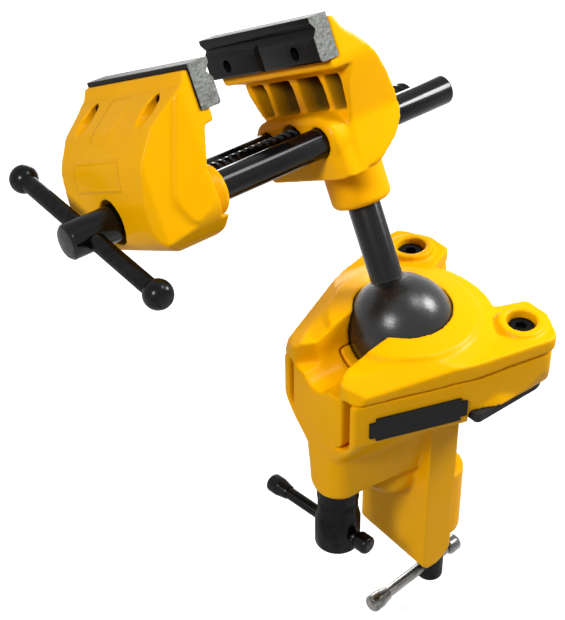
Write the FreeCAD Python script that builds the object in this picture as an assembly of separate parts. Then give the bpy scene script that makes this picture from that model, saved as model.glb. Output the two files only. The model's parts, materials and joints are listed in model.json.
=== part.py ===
import FreeCAD, Part
import math
import os
from FreeCAD import Placement, Rotation, Vector

# Ball-joint bench vise that clamps to a table edge, in millimetres.
# X is the jaw width, -Y the user's side and Z up. Base pieces are drawn about the
# centre of the ball. Head pieces are drawn about the point where the stem's axis
# meets the spindle's, then lifted by SPINDLE_HEIGHT and tilted with the stem.
# At the end everything moves so that the origin lies on the clamp screw's axis at
# the clamp seat, which is the underside of the table pad.

# ---- ball joint -----------------------------------------------------------
BALL_R = 21.25
SOCKET_GAP = 0.25           # ball to both castings
HEAD_TILT = 28.6            # lean of the stem at rest, in degrees, towards -X
STEM_R = 6.4
STEM_IN_HEAD = 19.5         # stem inside the neck
STEM_GAP = 0.05             # stem in the neck's bore
STEM_PIN_R = 1.5
STEM_PIN_GAP = 0.15         # pin in the stem's groove
CUP_R = 14.5                # seat cup under the ball
CUP_T = 6.2
CUP_GAP = 0.08              # cup to the ball and to its pocket

# ---- places of the axes ---------------------------------------------------
CLAMP_Y = 24.5              # clamp screw behind the ball
LOCK_Y = -31.5              # lock screw in front of the ball
SPINDLE_HEIGHT = 82.2       # ball centre to the spindle, along the stem

# ---- socket cap and body --------------------------------------------------
SEAM_Z = -3.0               # top of the body at the lugs
SEAM_SLOPE = 0.032          # fall of the seam towards the front, mm per mm
SEAM_GAP = 0.6              # slot between the body and the cap
BODY_FLOOR = -20.0          # underside of the body, on the table pad
REAR_ARC_R = 36.9           # round back of the socket, seen from above
BODY_INSET = 0.7            # body inside the cap's edge
LUG_X = 31.8
LUG_Y = 33.0
LUG_ROOT = (14.8, 27.0)     # inner end of a lug, inside the round back
LUG_CORNERS = ((22.4, 46.0, 3.5), (33.5, 46.0, 9.0), (46.8, 38.2, 5.0))
WAIST = (38.6, 2.0)         # where the sides turn towards the front, seen from above
WAIST_R = 30.0
CAP_FRONT_CORNER = (19.5, -48.0)    # where the cap's sides would end, ahead of its bowed front
BODY_FRONT_CORNER = (21.0, -42.4)
BODY_FRONT_R = 2.0
FRONT_Y = -44.0             # middle of the cap's bowed front
BOW_R = 107.0
CAP_EDGE_Z = 4.0            # upper edge of the cap's side
SHOULDER = ((36.5, -5.0, 3.6), (15.0, -42.9, 2.0), (23.7, -37.8, -1.0))   # slope beside the way
CORNER_FACET = ((15.0, -42.9, 2.0), (22.4, -40.7, -5.0), (23.7, -37.8, -1.0))
RIM_R = 18.85               # ball opening
RIM_Z = 10.0
RING_R = 29.0               # raised ring round the opening
RING_Z = 7.6
RING_STEP = 1.6
LUG_TOP = 6.2
LUG_TILT = 5.0
LUG_PAD_R = 9.4

# ---- way for the stem, and the cap's lip ----------------------------------
CHANNEL_R = 9.0
CHANNEL_TOP_HALF = 10.4
FLARE_HALF = 14.5
FLARE_LENGTH = 9.0
FLARE_BOTTOM = -5.6
LIP_HALF = 14.6
LIP_DROP = 28.6             # lip below the cap
LIP_T = 19.0
LIP_CORNER_R = 4.0
LIP_SIDE_GAP = 3.4
LIP_GAP = 1.0

# ---- bolts of the cap -----------------------------------------------------
CAP_BOLT_R = 3.0
CAP_BOLT_HEAD_R = 5.0
CAP_BOLT_HEAD_H = 4.0
CAP_BOLT_LENGTH = 14.0
CAP_BOLT_WEB = 1.8          # cap under the heads
COUNTERBORE_R = 5.9
HOLE_GAP = 0.3              # bolts and screws in plain holes
THREAD_GAP = 0.02           # screws, pins and rods in holes that grip them
OVERLAP = 1.0               # pieces and cutters drawn past the surface they meet
RUNNING_GAP = 0.05
AXIAL_GAP = 0.1
HEX_SHARE = 0.5             # socket's corner radius over the head's

# ---- column, belly and clamp ----------------------------------------------
COLUMN_HALF = 20.4
COLUMN_FRONT = -0.4
COLUMN_T = 16.2
COLUMN_LENGTH = 104.0
COLUMN_FOOT_R = 5.0
COLUMN_HEEL_R = 10.0
CLAMP_BOSS_R = 11.6
CLAMP_BOSS_LENGTH = 36.0
BELLY_R = 13.2
BELLY_CENTRE = (-3.9, -70.4)
BELLY_SECTIONS = (          # height, back and front corners, each with its radius
    (-20.0, (38.0, 1.0), (21.0, -42.4, 2.0)),
    (-25.0, (38.0, 1.0), (21.0, -42.4, 2.0)),
    (-29.0, (25.0, 3.0), (19.8, -42.4, 3.0)),
    (-33.0, (21.5, 4.0), (17.6, -42.3, 4.0)),
    (-38.0, (20.0, 5.0), (13.6, -42.0, 5.0)),
    (-43.0, (19.0, 5.0), (10.6, -41.7, 7.0)),
    (-56.0, (17.0, 5.0), (9.9, -41.5, 8.0)),
    (-64.0, (15.5, 6.0), (9.9, -41.5, 9.0)),
)
LOCK_BOSS_R = 10.2
LOCK_BOSS_BOTTOM = -66.5
LOCK_BOSS_EDGE = 1.8

# rear of the body under the lugs: half width, front and back, at two heights
REAR_TAPER_TOP = (48.0, -60.0, 47.0)
REAR_TAPER_BOTTOM = (43.0, -60.0, 43.5)
REAR_TAPER_R = 6.0
FLANGE_TOP = ((33.4, 4.0, 0.0), (37.5, 14.0, 8.0), (37.5, 38.0, 6.0))     # seen from above
FLANGE_BOTTOM = ((37.4, 1.4, 0.0), (43.0, 14.6, 8.0), (43.0, 43.5, 6.0))
FLANGE_TOP_Z = -7.0

PAD_T = 4.0
PAD_HALF = 41.3
PAD_FRONT = 3.0
PAD_BACK = 43.0
PAD_CORNER_R = 9.0
PAD_FRONT_R = 2.0
PAD_COLUMN_GAP = 0.4
PAD_BODY_STEP = 0.6         # pad behind the belly's back

BADGE_LENGTH = 39.6
BADGE_H = 11.0
BADGE_T = 0.9
BADGE_GLUE = 0.05
BADGE_TAB = 2.6             # narrower tab at each end
BADGE_TAB_STEP = 1.8
BADGE_DROP = 7.0            # badge below the seam
BADGE_FROM_FRONT = 6.4

CLAMP_SCREW_R = 6.0
CLAMP_SCREW_BELOW = 34.2    # below the arm
CLAMP_OPENING = 30.0        # seat to foot at rest
FOOT_R = 8.2
FOOT_T = 6.0
FOOT_PIVOT_R = 3.5
FOOT_PIVOT_H = 3.6
CLAMP_BAR_UP = 7.8          # bar above the screw's end
CLAMP_BAR_ANGLE = 5.0       # degrees from Y
CLAMP_BAR_FRONT = 35.5      # middle of each knob from the screw's axis
CLAMP_BAR_REAR = 14.3
SMALL_BAR_R = 2.6
BAR_HOLE_GAP = 0.1
KNOB_R = 4.0
KNOB_H = 7.2
KNOB_EDGE = 1.8
KNOB_CONE_R = 3.0           # end of the cone that runs from the fixed knob into the bar
KNOB_CONE_H = 3.4
SPIGOT_R = 1.6

# ---- lock screw -----------------------------------------------------------
LOCK_STUD_R = 5.0
LOCK_STUD_IN_CAP = 15.0
LOCK_COLLAR_R = 8.7
LOCK_COLLAR_H = 6.2
LOCK_HUB_NECK_R = 8.4
LOCK_HUB_R = 9.5
LOCK_HUB_H = 27.6
LOCK_HUB_NECK_H = 6.5
LOCK_HUB_FLARE_H = 5.0
LOCK_HUB_EDGE = 2.5
LOCK_BAR_UP = 9.7           # bar above the hub's end
LOCK_BAR_ANGLE = 8.0        # degrees from X
LOCK_BAR_LEFT = 34.9        # middle of each knob from the screw's axis
LOCK_BAR_RIGHT = 14.3

# ---- jaw plates -----------------------------------------------------------
JAW_OPENING = 42.6
REAR_FACE_Y = -24.6         # gripping face of the rear plate
PLATE_HALF = 38.1
PLATE_FOOT = 29.0           # above the spindle
PLATE_H = 16.0
PLATE_T = 7.8
GROOVE_UP = 11.5            # horizontal groove above the plate's foot
GROOVE_HALF = 2.6
GROOVE_DEPTH = 1.8
UPRIGHT_GROOVE_HALF = 1.8
UPRIGHT_GROOVE_DEPTH = 1.0
PLATE_CHAMFER = 0.8
PLATE_SCREW_X = 23.4
PLATE_SCREW_UP = 4.5        # above the plate's foot
PLATE_SCREW_R = 2.5
PLATE_SCREW_HEAD_R = 3.7
PLATE_SCREW_HEAD_H = 3.6
PLATE_SCREW_SHORT = 2.0     # screw ends behind the gripping face
PLATE_WALL = 2.0            # casting between the plate and the screw heads
ACCESS_HOLE_R = 4.1

# ---- jaw castings ---------------------------------------------------------
# side views: distance behind the plate's back, height above the spindle, radius
FRONT_OUTER = (
    (2.2, 43.2, 1.5), (4.0, 39.2, 2.0), (17.6, 29.6, 8.0), (24.6, 19.6, 12.0),
    (27.6, 2.0, 16.0), (26.4, -9.0, 8.0), (17.0, -14.2, 8.0),
)
FRONT_INNER = (
    (1.0, -14.2, 3.0), (0.2, -10.5, 1.0), (0.2, -6.6, 0.0), (3.3, -6.6, 0.0),
    (4.4, 11.0, 2.0), (0.2, 24.2, 1.0), (-3.5, 24.6, 0.8), (-3.5, 29.0, 0.0), (0.0, 29.0, 0.0),
)
REAR_OUTER = (
    (3.0, 43.0, 1.5), (5.6, 37.6, 3.0), (11.8, 32.0, 30.0), (19.0, 22.8, 40.0),
    (25.6, 9.5, 30.0), (27.3, 0.5, 8.0), (22.6, -6.4, 10.0), (11.5, -14.5, 3.0),
)
REAR_INNER = (
    (3.6, -14.5, 0.0), (3.5, 10.0, 1.0), (2.6, 23.3, 1.5), (-3.9, 25.6, 0.6),
    (-3.9, 29.0, 0.0), (0.0, 29.0, 0.0),
)
JAW_HALF = 37.4
FRONT_SIDES = ((36.6, 5.0, 8.0), (31.0, 27.0, 4.0))     # half width, distance, radius
REAR_SIDES = ((37.4, 19.0, 16.0), (31.0, 30.0, 5.0))
FRONT_LOWER_SIDES = ((37.4, -4.0, 14.0), (26.0, -14.2, 16.0))   # half width, height, radius
REAR_LOWER_SIDES = ((37.4, 27.0, 12.0), (27.2, 5.0, 10.0), (26.0, -14.5, 3.0))
SIDE_PANEL_STEP = 0.8
SIDE_PANEL = ((6.5, 38.0, 2.0), (18.3, 4.0, 8.0), (14.6, -4.4, 5.0), (0.0, -14.0, 0.0))
CHEEK_R = 7.0               # rounding of the rear jaw's inner upright edges
CHEEK_RUN = 2.6             # inner face behind the plate's back
CHEEK_TOP = 25.0
BLOCK_R = 9.5               # casting round rods and spindle
BLOCK_EDGE = 2.4
BLOCK_ROOT = 6.0            # block's inner end behind the plate's back
FRONT_BLOCK_PROUD = 7.1     # block's free end ahead of the plate's back
REAR_BLOCK_PROUD = 5.0
POCKET_TOP = 22.5
POCKET_BOTTOM = BLOCK_R     # level with the top of the block
POCKET_TOP_HALF = 30.2
POCKET_BOTTOM_HALF = 27.7
POCKET_BACK = 16.0          # behind the plate's back
RIB_X = 18.8
RIB_T = 3.0
MIDDLE_RIB_T = 4.4
CHIN_HALF = 26.0            # solid lower front of the rear jaw
CHIN_CORNER_R = 5.0
CHIN_BOTTOM = -14.5
NECK_R = 11.7
NECK_END = 30.7             # below the spindle
NECK_EDGE = 2.6

# ---- rods and spindle -----------------------------------------------------
ROD_R = 5.57
ROD_X = 17.0
ROD_REAR = 39.5
ROD_FRONT = -92.0
ROD_EDGE = 1.2
ROD_PIN_R = 1.5
ROD_PIN_Y = -84.0
ROD_PIN_RECESS = 0.8
SPINDLE_R = 6.0
SPINDLE_REAR = 32.8
SPINDLE_HOLE_R = 8.3
SPINDLE_WALL_Y = -91.0      # front of the wall that the hub pushes on
SPINDLE_WALL_T = 6.0
HUB_FRONT = -120.4
HUB_R = 6.5
HUB_FLARE_R = 7.2
HUB_FLARE_FROM = -106.0
HUB_EDGE = 1.0
THRUST_WASHER_R = 7.9
THRUST_WASHER_T = 1.2
COLLAR_R = 7.6
COLLAR_T = 6.0
COLLAR_POCKET_R = 8.1
COLLAR_PIN_R = 1.5
NUT_R = 8.2
NUT_FLANGE_R = 9.2
NUT_FLANGE_T = 2.0
NUT_LENGTH = 16.0
NUT_SEAT_Y = 1.0            # seat of the nut's flange
SPINDLE_BORE_R = 7.5
BAR_R = 3.2
BAR_FROM_FRONT = 8.8        # bar behind the hub's end
BAR_ANGLE = -29.6           # degrees from X, about the spindle
BAR_HALF = 42.4             # middle of each ball from the spindle
BAR_BALL_R = 5.3
BAR_BALL_FLAT = 4.3         # flat of each ball from its middle


# ---- drawing helpers ------------------------------------------------------
def box(x0, x1, y0, y1, z0, z1):
    return Part.makeBox(x1 - x0, y1 - y0, z1 - z0, Vector(x0, y0, z0))


def upright(radius, x, y, z0, z1):
    """Cylinder along Z."""
    return Part.makeCylinder(radius, z1 - z0, Vector(x, y, z0), Vector(0, 0, 1))


def lengthwise(radius, x, z, y0, y1):
    """Cylinder along Y."""
    return Part.makeCylinder(radius, y1 - y0, Vector(x, y0, z), Vector(0, 1, 0))


def fuse(first, *others):
    return first.fuse(list(others)).removeSplitter()


def group(shapes):
    """Separate solids that share one node."""
    return Part.makeCompound(shapes)


def placed(shape, origin, direction):
    """Copy of a shape drawn along +Z from the zero point, moved to an origin and direction."""
    copy = shape.copy()
    turn = Placement(origin, Rotation(Vector(0, 0, 1), direction))
    copy.Placement = turn.multiply(copy.Placement)
    return copy


def rounded_wire(corners):
    """Closed wire through (point, radius) corners, each rounded by a tangent arc."""
    bends = []
    count = len(corners)
    for index, (corner, radius) in enumerate(corners):
        before = (corners[index - 1][0] - corner).normalize()
        after = (corners[(index + 1) % count][0] - corner).normalize()
        half = before.getAngle(after) / 2
        if radius == 0:
            bends.append((corner, corner, corner))
            continue
        reach = radius / math.tan(half)
        middle = corner + (before + after).normalize() * (radius / math.sin(half) - radius)
        bends.append((corner + before * reach, middle, corner + after * reach))
    edges = []
    for index, (enter, middle, leave) in enumerate(bends):
        if enter != leave:
            edges.append(Part.Arc(enter, middle, leave).toShape())
        edges.append(Part.makeLine(leave, bends[(index + 1) % count][0]))
    return Part.Wire(edges)


def plan_wire(corners, z):
    """Closed wire from (x, y, radius) corners, seen from above."""
    return rounded_wire([(Vector(x, y, z), radius) for x, y, radius in corners])


def plan_prism(corners, z0, z1):
    return Part.Face(plan_wire(corners, z0)).extrude(Vector(0, 0, z1 - z0))


def side_prism(corners, half_width):
    """Prism over a side view of (y, z, radius) corners, centred on X."""
    wire = rounded_wire([(Vector(-half_width, y, z), radius) for y, z, radius in corners])
    return Part.Face(wire).extrude(Vector(2 * half_width, 0, 0))


def front_prism(corners, y0, y1):
    """Prism over a front view of (x, z, radius) corners."""
    wire = rounded_wire([(Vector(x, y0, z), radius) for x, z, radius in corners])
    return Part.Face(wire).extrude(Vector(0, y1 - y0, 0))


def both_sides(half):
    """Closed outline from its +X half."""
    return [(-x, v, radius) for x, v, radius in reversed(half)] + list(half)


def turned(profile):
    """Solid of revolution about Z from (r, z) points."""
    points = [Vector(r, 0, z) for r, z in profile]
    face = Part.Face(Part.makePolygon(points + points[:1]))
    return face.revolve(Vector(0, 0, 0), Vector(0, 0, 1), 360)


def beyond_plane(points, side):
    """Thick slab beyond the plane through three points, mirrored for the other side."""
    first, second, third = [Vector(side * x, y, z) for x, y, z in points]
    normal = (second - first).cross(third - first).normalize() * side
    slab = Part.makeBox(FAR, FAR, FAR / 4, Vector(-FAR / 2, -FAR / 2, 0))
    return placed(slab, first, normal)


def rounded_cylinder(radius, height, edge):
    """Cylinder from z = 0 with both rims rounded."""
    solid = Part.makeCylinder(radius, height)
    rims = [e for e in solid.Edges if abs(e.Length - 2 * math.pi * radius) < SAME]
    return solid.makeFillet(edge, rims)


# ---- base castings --------------------------------------------------------
CAP_BOTTOM = SEAM_Z + SEAM_GAP
LIP_BOTTOM = CAP_BOTTOM - LIP_DROP
LIP_BACK = FRONT_Y + LIP_T
ARM_BOTTOM = BODY_FLOOR - COLUMN_LENGTH
COLUMN_BACK = COLUMN_FRONT + COLUMN_T
SEAT_Z = BODY_FLOOR - PAD_T
OUTER_R = BALL_R + SOCKET_GAP
FAR = 200.0                 # beyond every piece
SAME = BALL_R / 1e7         # lengths closer than this are equal


def base_outline(front_corner, front_r, inset):
    """Plan of the cap or the body, without the round back of the socket."""
    lug = [(x - inset, y - inset, radius) for x, y, radius in LUG_CORNERS]
    half = [(LUG_ROOT[0], LUG_ROOT[1], 0)] + lug
    half.append((WAIST[0] - inset, WAIST[1], WAIST_R))
    half.append((front_corner[0], front_corner[1], front_r))
    return both_sides([(x, y, radius) for x, y, radius in reversed(half)])


def round_back(radius, z0, z1):
    """Rear part of the round socket, which shows between the lugs."""
    rear = box(-radius, radius, radius / 2, radius, z0, z1)
    return upright(radius, 0, 0, z0, z1).common(rear)


def under_seam(gap):
    """Space under the leaning seam, lifted by a gap."""
    front_z = SEAM_Z + gap - SEAM_SLOPE * (FAR + LUG_Y)
    back_z = SEAM_Z + gap + SEAM_SLOPE * (FAR - LUG_Y)
    return side_prism([(-FAR, front_z, 0), (FAR, back_z, 0), (FAR, -FAR, 0), (-FAR, -FAR, 0)], FAR)


def cap_skirt():
    """Outer shape of the cap, seen from above, with a slightly bowed front."""
    low = FLARE_BOTTOM - OVERLAP
    high = RIM_Z + OVERLAP
    sides = plan_prism(base_outline(CAP_FRONT_CORNER, 0, 0), low, high)
    return fuse(sides.common(front_bow()), round_back(REAR_ARC_R, low, high))


def dome():
    """Top of the cap: a ring round the opening, then a gentle slope outwards."""
    slope_start = RING_R + RING_STEP
    return turned([
        (0, LIP_BOTTOM), (FAR, LIP_BOTTOM), (FAR, CAP_EDGE_Z),
        (REAR_ARC_R, CAP_EDGE_Z), (slope_start, RING_Z - RING_STEP), (RING_R, RING_Z),
        (RIM_R, RIM_Z), (0, RIM_Z),
    ])


def stem_channel():
    """Way to the front, in which the stem lies when the head is laid right over."""
    end = FRONT_Y - OVERLAP
    trough = lengthwise(CHANNEL_R, 0, 0, end, 0)
    walls = front_prism([
        (-CHANNEL_R, 0, 0), (CHANNEL_R, 0, 0), (CHANNEL_TOP_HALF, RIM_Z + OVERLAP, 0),
        (-CHANNEL_TOP_HALF, RIM_Z + OVERLAP, 0),
    ], end, 0)
    flare_y = FRONT_Y + FLARE_LENGTH
    flare = plan_prism([
        (CHANNEL_R, flare_y, 0), (FLARE_HALF, end, 0), (-FLARE_HALF, end, 0),
        (-CHANNEL_R, flare_y, 0),
    ], FLARE_BOTTOM, RIM_Z + OVERLAP)
    return fuse(trough, walls, flare)


def lip_view(grow, top, bottom):
    """Front view of the lip, or of the recess that it hangs in."""
    half = LIP_HALF + grow
    corner = LIP_CORNER_R + grow
    return [(-half, top, 0), (half, top, 0), (half, bottom, corner), (-half, bottom, corner)]


def front_bow():
    """Large cylinder whose front is the slightly bowed front of the cap and its lip."""
    return upright(BOW_R, 0, FRONT_Y + BOW_R, LIP_BOTTOM, RIM_Z + OVERLAP)


def lug_pad(side):
    depth = LUG_TOP - CAP_BOTTOM - OVERLAP
    pad = Part.makeCylinder(LUG_PAD_R, depth, Vector(0, 0, 0), Vector(0, 0, -1))
    pad.Placement = Placement(
        Vector(side * LUG_X, LUG_Y, LUG_TOP), Rotation(Vector(0, 1, 0), side * LUG_TILT))
    return pad


def socket_cap():
    skirt = cap_skirt()
    ring = upright(RING_R, 0, 0, LIP_BOTTOM, FAR)
    cap = skirt.common(dome()).cut(under_seam(SEAM_GAP))
    cap = cap.cut([beyond_plane(SHOULDER, side).cut(ring) for side in (-1, 1)])
    cap = cap.cut([beyond_plane(CORNER_FACET, side) for side in (-1, 1)])
    lip = front_prism(lip_view(0, CAP_BOTTOM + OVERLAP, LIP_BOTTOM), LIP_BACK, FRONT_Y)
    cap = cap.fuse([lip.common(front_bow())] + [lug_pad(side).common(skirt) for side in (-1, 1)])
    cap = cap.cut(stem_channel())
    cap = cap.cut(Part.makeSphere(OUTER_R))
    head_seat = CAP_BOTTOM + CAP_BOLT_WEB
    for side in (-1, 1):
        x = side * LUG_X
        cap = cap.cut(upright(COUNTERBORE_R, x, LUG_Y, head_seat, FAR))
        cap = cap.cut(upright(CAP_BOLT_R + HOLE_GAP, x, LUG_Y, LIP_BOTTOM, FAR))
    stud_hole = upright(LOCK_STUD_R + RUNNING_GAP, 0, LOCK_Y, LIP_BOTTOM - OVERLAP,
                        LIP_BOTTOM + LOCK_STUD_IN_CAP + OVERLAP)
    return cap.cut(stud_hole).removeSplitter()


def belly():
    """Underside of the body, drawn in towards the lock boss and the column."""
    wires = []
    for z, (back_x, back_r), (front_x, front_y, front_r) in BELLY_SECTIONS:
        half = [(front_x, front_y, front_r), (back_x, PAD_FRONT - PAD_BODY_STEP, back_r)]
        wires.append(plan_wire(both_sides(half), z))
    slices = [Part.makeLoft([upper, lower], True, True) for upper, lower in zip(wires, wires[1:])]
    ball = Part.makeSphere(BELLY_R, Vector(0, BELLY_CENTRE[0], BELLY_CENTRE[1]))
    return slices + [ball]


def column():
    """Upright of the clamp frame with the boss of the clamp screw behind it."""
    post = side_prism([
        (COLUMN_FRONT, BODY_FLOOR + OVERLAP, 0), (COLUMN_BACK, BODY_FLOOR + OVERLAP, 0),
        (COLUMN_BACK, ARM_BOTTOM, COLUMN_HEEL_R), (COLUMN_FRONT, ARM_BOTTOM, COLUMN_FOOT_R),
    ], COLUMN_HALF)
    boss_top = ARM_BOTTOM + CLAMP_BOSS_LENGTH
    boss = upright(CLAMP_BOSS_R, 0, CLAMP_Y, ARM_BOTTOM, boss_top)
    web = box(-CLAMP_BOSS_R, CLAMP_BOSS_R, COLUMN_BACK - OVERLAP, CLAMP_Y, ARM_BOTTOM, boss_top)
    return [post, boss, web]


def rectangle(half, front, back, radius):
    return [(half, front, radius), (half, back, radius), (-half, back, radius),
            (-half, front, radius)]


def rear_of_body(block):
    """Body drawn in under the lugs, then spread again to the size of the pad."""
    top = SEAM_Z + OVERLAP
    taper = Part.makeLoft([
        plan_wire(rectangle(*REAR_TAPER_TOP, REAR_TAPER_R), top),
        plan_wire(rectangle(*REAR_TAPER_BOTTOM, REAR_TAPER_R), BODY_FLOOR),
    ], True, True)
    flange = Part.makeLoft([
        plan_wire(both_sides(FLANGE_TOP), FLANGE_TOP_Z),
        plan_wire(both_sides(FLANGE_BOTTOM), BODY_FLOOR),
    ], True, True)
    return block.common(taper).fuse(flange)


def base_body():
    outline = base_outline(BODY_FRONT_CORNER, BODY_FRONT_R, BODY_INSET)
    body = rear_of_body(plan_prism(outline, BODY_FLOOR, SEAM_Z + OVERLAP))
    back = round_back(REAR_ARC_R - BODY_INSET, BODY_FLOOR, SEAM_Z + OVERLAP)
    lock_boss = rounded_cylinder(
        LOCK_BOSS_R, LIP_BOTTOM - LIP_GAP - LOCK_BOSS_BOTTOM, LOCK_BOSS_EDGE)
    lock_boss.translate(Vector(0, LOCK_Y, LOCK_BOSS_BOTTOM))
    body = body.fuse([back, lock_boss] + belly() + column()).common(under_seam(0))
    recess = front_prism(lip_view(LIP_SIDE_GAP, SEAM_Z + OVERLAP, LIP_BOTTOM - LIP_GAP),
                         FRONT_Y - OVERLAP, LIP_BACK + LIP_GAP)
    body = body.cut(recess)
    body = body.cut(stem_channel())
    body = body.cut(Part.makeSphere(OUTER_R))
    body = body.cut(upright(CUP_R + CUP_GAP, 0, 0, cup_bottom() - AXIAL_GAP, 0))
    body = body.cut(upright(LOCK_STUD_R + HOLE_GAP, 0, LOCK_Y, ARM_BOTTOM, LIP_BOTTOM))
    body = body.cut(upright(CLAMP_SCREW_R + RUNNING_GAP, 0, CLAMP_Y, -FAR, BODY_FLOOR - OVERLAP))
    bolt_end = CAP_BOTTOM + CAP_BOLT_WEB - CAP_BOLT_LENGTH - AXIAL_GAP
    for side in (-1, 1):
        hole = upright(CAP_BOLT_R + THREAD_GAP, side * LUG_X, LUG_Y, bolt_end, SEAM_Z + OVERLAP)
        body = body.cut(hole)
    return body.removeSplitter()


def table_pad():
    """Rubber pad between the body and the table, cut out round the column."""
    pad = plan_prism([
        (PAD_HALF, PAD_BACK, PAD_CORNER_R), (-PAD_HALF, PAD_BACK, PAD_CORNER_R),
        (-PAD_HALF, PAD_FRONT, PAD_FRONT_R), (PAD_HALF, PAD_FRONT, PAD_FRONT_R),
    ], SEAT_Z, BODY_FLOOR)
    half = COLUMN_HALF + PAD_COLUMN_GAP
    return pad.cut(box(-half, half, 0, COLUMN_BACK + PAD_COLUMN_GAP, SEAT_Z, BODY_FLOOR))


def badge_plate():
    """Bare plate on the +X side of the body, with a narrower tab at each end."""
    ends = (BODY_FRONT_CORNER, (WAIST[0] - BODY_INSET, WAIST[1]))
    front, waist = [Vector(x, y, SEAM_Z + SEAM_SLOPE * (y - LUG_Y) - BADGE_DROP) for x, y in ends]
    along = (waist - front).normalize()
    low = -BADGE_H + BADGE_TAB_STEP
    inner = BADGE_LENGTH - BADGE_TAB
    outline = [
        (0, low), (BADGE_TAB, low), (BADGE_TAB, -BADGE_H), (inner, -BADGE_H), (inner, low),
        (BADGE_LENGTH, low), (BADGE_LENGTH, -BADGE_TAB_STEP), (inner, -BADGE_TAB_STEP),
        (inner, 0), (BADGE_TAB, 0), (BADGE_TAB, -BADGE_TAB_STEP), (0, -BADGE_TAB_STEP),
    ]
    outward = along.cross(Vector(0, 0, 1)).normalize()
    start = front + along * BADGE_FROM_FRONT + outward * BADGE_GLUE
    points = [start + along * run + Vector(0, 0, drop) for run, drop in outline]
    return Part.Face(Part.makePolygon(points + points[:1])).extrude(outward * BADGE_T)


# ---- base hardware --------------------------------------------------------
def socket_head_screw(radius, length, head_radius, head_height):
    """Screw from z = -length, its head from z = 0 up, with a hexagon socket."""
    shank = Part.makeCylinder(radius, length + head_height / 2, Vector(0, 0, -length))
    head = Part.makeCylinder(head_radius, head_height)
    corner = head_radius * HEX_SHARE
    hexagon = [Vector(corner * math.cos(math.pi * k / 3), corner * math.sin(math.pi * k / 3),
                      head_height / 2) for k in range(7)]
    socket = Part.Face(Part.makePolygon(hexagon)).extrude(Vector(0, 0, head_height))
    return fuse(head, shank).cut(socket)


def cap_bolts():
    bolt = socket_head_screw(CAP_BOLT_R, CAP_BOLT_LENGTH, CAP_BOLT_HEAD_R, CAP_BOLT_HEAD_H)
    seat = CAP_BOTTOM + CAP_BOLT_WEB
    return group([placed(bolt, Vector(side * LUG_X, LUG_Y, seat), Vector(0, 0, 1))
                  for side in (-1, 1)])


def cup_bottom():
    return -(BALL_R + CUP_T)


def ball_seat():
    """Cup under the ball, free to swivel in its pocket."""
    cup = upright(CUP_R, 0, 0, cup_bottom(), -BALL_R / 2)
    return cup.cut(Part.makeSphere(BALL_R + CUP_GAP))


def cross_bar(radius, start, end, knob, spigot_radius, spigot_length):
    """Bar along +Z with one end piece made on at the start, and a spigot for the other."""
    near = placed(knob, Vector(0, 0, start), Vector(0, 0, -1))
    rod = upright(radius, 0, 0, start, end - spigot_length)
    spigot = upright(spigot_radius, 0, 0, start, end)
    return fuse(near, rod, spigot)


def knob_blank():
    """Barrel-shaped knob, centred on the zero point."""
    knob = rounded_cylinder(KNOB_R, KNOB_H, KNOB_EDGE)
    knob.translate(Vector(0, 0, -KNOB_H / 2))
    return knob


def loose_end(knob, spigot_radius, face):
    """End piece with the blind hole for the spigot, entered from -Z."""
    return knob.cut(upright(spigot_radius + THREAD_GAP, 0, 0, -FAR / 2, face))


def small_bar(reach_back, reach_front, origin, direction):
    """Sliding bar with two knobs, as the bar and its loose knob."""
    shoulder = KNOB_H / 2
    cone = Part.makeCone(KNOB_CONE_R, KNOB_R, KNOB_CONE_H + KNOB_EDGE)
    cone.translate(Vector(0, 0, -shoulder - KNOB_CONE_H))
    fixed_knob = fuse(knob_blank(), cone)
    bar = cross_bar(SMALL_BAR_R, -reach_back, reach_front, fixed_knob, SPIGOT_R, shoulder)
    knob = loose_end(knob_blank(), SPIGOT_R, AXIAL_GAP)
    knob.translate(Vector(0, 0, reach_front))
    return placed(bar, origin, direction), placed(knob, origin, direction)


def clamp_bar_place():
    angle = math.radians(CLAMP_BAR_ANGLE)
    height = ARM_BOTTOM - CLAMP_SCREW_BELOW + CLAMP_BAR_UP
    return Vector(0, CLAMP_Y, height), Vector(-math.sin(angle), math.cos(angle), 0)


def lock_bar_place():
    angle = math.radians(LOCK_BAR_ANGLE)
    height = lock_hub_top() - LOCK_HUB_H + LOCK_BAR_UP
    return Vector(0, LOCK_Y, height), Vector(math.cos(angle), math.sin(angle), 0)


def foot_top():
    return SEAT_Z - CLAMP_OPENING


def clamp_screw():
    bottom = ARM_BOTTOM - CLAMP_SCREW_BELOW
    shoulder = foot_top() - FOOT_T - AXIAL_GAP
    shaft = rounded_cylinder(CLAMP_SCREW_R, shoulder - bottom, HUB_EDGE)
    shaft.translate(Vector(0, CLAMP_Y, bottom))
    pivot = upright(FOOT_PIVOT_R, 0, CLAMP_Y, shoulder - OVERLAP, shoulder + FOOT_PIVOT_H)
    hole = placed(Part.makeCylinder(SMALL_BAR_R + BAR_HOLE_GAP, FAR, Vector(0, 0, -FAR / 2)),
                  *clamp_bar_place())
    return fuse(shaft, pivot).cut(hole)


def clamp_foot():
    top = foot_top()
    foot = rounded_cylinder(FOOT_R, FOOT_T, HUB_EDGE)
    foot.translate(Vector(0, CLAMP_Y, top - FOOT_T))
    return foot.cut(upright(FOOT_PIVOT_R + RUNNING_GAP, 0, CLAMP_Y, top - FOOT_T - OVERLAP,
                            top - FOOT_T + FOOT_PIVOT_H + AXIAL_GAP))


def lock_hub_top():
    return LOCK_BOSS_BOTTOM - AXIAL_GAP - LOCK_COLLAR_H - AXIAL_GAP


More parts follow.
